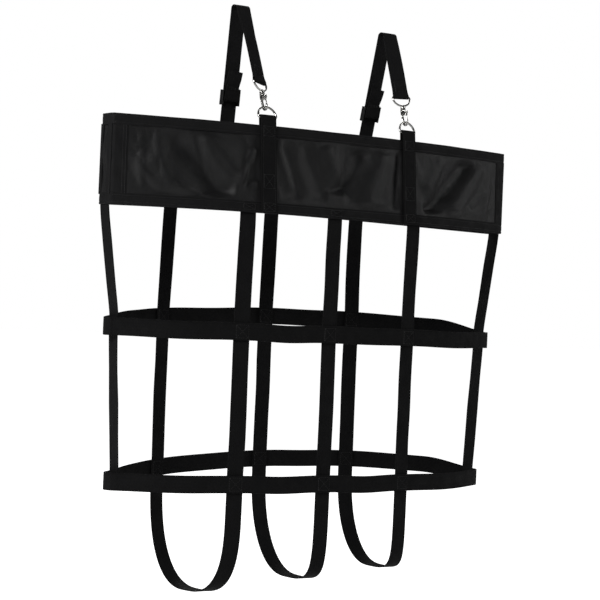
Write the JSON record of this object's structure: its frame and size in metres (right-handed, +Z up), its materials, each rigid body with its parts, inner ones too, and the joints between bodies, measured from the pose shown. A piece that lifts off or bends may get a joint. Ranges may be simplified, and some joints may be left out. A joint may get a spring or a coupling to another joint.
{
  "type": "webbing hay net",
  "caption": "Hanging hay holder: a fabric collar over an open net of flat webbing, with two over-the-rail straps that clip to D-rings by swivel snap hooks.",
  "frame": {"origin": "centre of the bounding box, which is the middle of the hanging net in width, depth and height", "axes": "+Z up as it hangs, +Y from the front panel to the back panel, +X to the right seen from the front"},
  "size_m": [0.704, 0.1698, 0.8501],
  "materials": {
    "coated_fabric": "polyurethane-coated woven fabric, soft sheen",
    "binding_tape": "folded binding with two rows of stitching, matte",
    "net_webbing": "flat woven webbing, matte",
    "strap_webbing": "flat woven webbing, matte",
    "nickel_plate": "bright nickel plate",
    "spring_steel": "drawn spring wire",
    "black_plastic": "moulded, satin"
  },
  "bodies": {
    "net": {"back_panel": "coated_fabric", "back_top_binding": "binding_tape", "back_bottom_binding": "binding_tape", "side_gusset_left": "coated_fabric", "side_gusset_right": "coated_fabric", "sling_left": "net_webbing", "sling_centre": "net_webbing", "sling_right": "net_webbing", "middle_ring": "net_webbing", "bottom_ring": "net_webbing", "side_strap_left": "net_webbing", "side_strap_right": "net_webbing", "strap_root_left": "strap_webbing", "strap_root_right": "strap_webbing", "back_end_tape_left": "binding_tape", "back_end_tape_right": "binding_tape"},
    "collar_front": {"front_panel": "coated_fabric", "front_top_binding": "binding_tape", "front_bottom_binding": "binding_tape", "front_tab_left": "net_webbing", "front_tab_right": "net_webbing", "front_end_tape_left": "binding_tape", "front_end_tape_right": "binding_tape"},
    "strap_rear_left": {"strap_rear_left": "strap_webbing"},
    "slider_left": {"strap_slider_left": "black_plastic", "strap_return_left": "strap_webbing"},
    "strap_front_left": {"strap_front_left": "strap_webbing", "swivel_eye_left": "nickel_plate"},
    "snap_hook_left": {"snap_hook_left": "nickel_plate", "gate_pin_left": "nickel_plate", "gate_spring_left": "spring_steel"},
    "snap_gate_left": {"snap_gate_left": "nickel_plate"},
    "d_ring_left": {"d_ring_left": "nickel_plate"},
    "strap_rear_right": {"strap_rear_right": "strap_webbing"},
    "slider_right": {"strap_slider_right": "black_plastic", "strap_return_right": "strap_webbing"},
    "strap_front_right": {"strap_front_right": "strap_webbing", "swivel_eye_right": "nickel_plate"},
    "snap_hook_right": {"snap_hook_right": "nickel_plate", "gate_pin_right": "nickel_plate", "gate_spring_right": "spring_steel"},
    "snap_gate_right": {"snap_gate_right": "nickel_plate"},
    "d_ring_right": {"d_ring_right": "nickel_plate"}
  },
  "joints": [
    {"name": "mouth_open", "type": "hinge", "parent": "net", "child": "collar_front", "pos_m": [0, -0.072, 0.1169], "axis": [1, 0, 0], "range_deg": [0, 10]},
    {"name": "strap_swing_left", "type": "hinge", "parent": "net", "child": "strap_rear_left", "pos_m": [-0.123, 0.0546, 0.24461], "axis": [1, 0, 0], "range_deg": [-0.5, 5.75]},
    {"name": "rail_fold_left", "type": "hinge", "parent": "strap_rear_left", "child": "strap_front_left", "pos_m": [-0.1232, 0.0252, 0.4242], "axis": [1, 0, 0], "range_deg": [-8.46, 0.5]},
    {"name": "d_ring_tilt_left", "type": "hinge", "parent": "collar_front", "child": "d_ring_left", "pos_m": [-0.1232, -0.05643, 0.25505], "axis": [0.9974, -0.0718, 0], "range_deg": [-13.21, 0.5]},
    {"name": "snap_swivel_left", "type": "hinge", "parent": "strap_front_left", "child": "snap_hook_left", "pos_m": [-0.1232, -0.03978, 0.28954], "axis": [0, 0.4346, 0.9006], "range_deg": [-25, 25]},
    {"name": "snap_gate_left_turn", "type": "hinge", "parent": "snap_hook_left", "child": "snap_gate_left", "pos_m": [-0.1232, -0.04605, 0.28646], "axis": [1, 0, 0], "range_deg": [0, 24], "stiffness_Nm_per_rad": 0.002, "springref_deg": -22.92},
    {"name": "slider_travel_left", "type": "slide", "parent": "strap_rear_left", "child": "slider_left", "axis": [-0.0011, -0.1096, 0.994], "range_m": [-0.012, 0.04]},
    {"name": "strap_swing_right", "type": "hinge", "parent": "net", "child": "strap_rear_right", "pos_m": [0.12829, 0.05414, 0.24461], "axis": [1, 0, 0], "range_deg": [-0.5, 4.78]},
    {"name": "rail_fold_right", "type": "hinge", "parent": "strap_rear_right", "child": "strap_front_right", "pos_m": [0.1285, 0.0022, 0.4104], "axis": [1, 0, 0], "range_deg": [-9.28, 0.5]},
    {"name": "d_ring_tilt_right", "type": "hinge", "parent": "collar_front", "child": "d_ring_right", "pos_m": [0.1285, -0.0559, 0.25505], "axis": [0.9966, 0.0822, 0], "range_deg": [-15, 0.5]},
    {"name": "snap_swivel_right", "type": "hinge", "parent": "strap_front_right", "child": "snap_hook_right", "pos_m": [0.1285, -0.04248, 0.29092], "axis": [0, 0.3503, 0.9366], "range_deg": [-25, 25]},
    {"name": "snap_gate_right_turn", "type": "hinge", "parent": "snap_hook_right", "child": "snap_gate_right", "pos_m": [0.1285, -0.04844, 0.28728], "axis": [1, 0, 0], "range_deg": [0, 24], "stiffness_Nm_per_rad": 0.002, "springref_deg": -22.92},
    {"name": "slider_travel_right", "type": "slide", "parent": "strap_rear_right", "child": "slider_right", "axis": [0.0013, -0.2474, 0.9689], "range_m": [-0.012, 0.04]}
  ],
  "couplings": [
    {"joint": "strap_swing_left", "follows": "mouth_open", "ratio": 0.5252},
    {"joint": "rail_fold_left", "follows": "mouth_open", "ratio": -0.7963},
    {"joint": "d_ring_tilt_left", "follows": "mouth_open", "ratio": -1.2711},
    {"joint": "strap_swing_right", "follows": "mouth_open", "ratio": 0.428},
    {"joint": "rail_fold_right", "follows": "mouth_open", "ratio": -0.8778},
    {"joint": "d_ring_tilt_right", "follows": "mouth_open", "ratio": -1.4498}
  ]
}
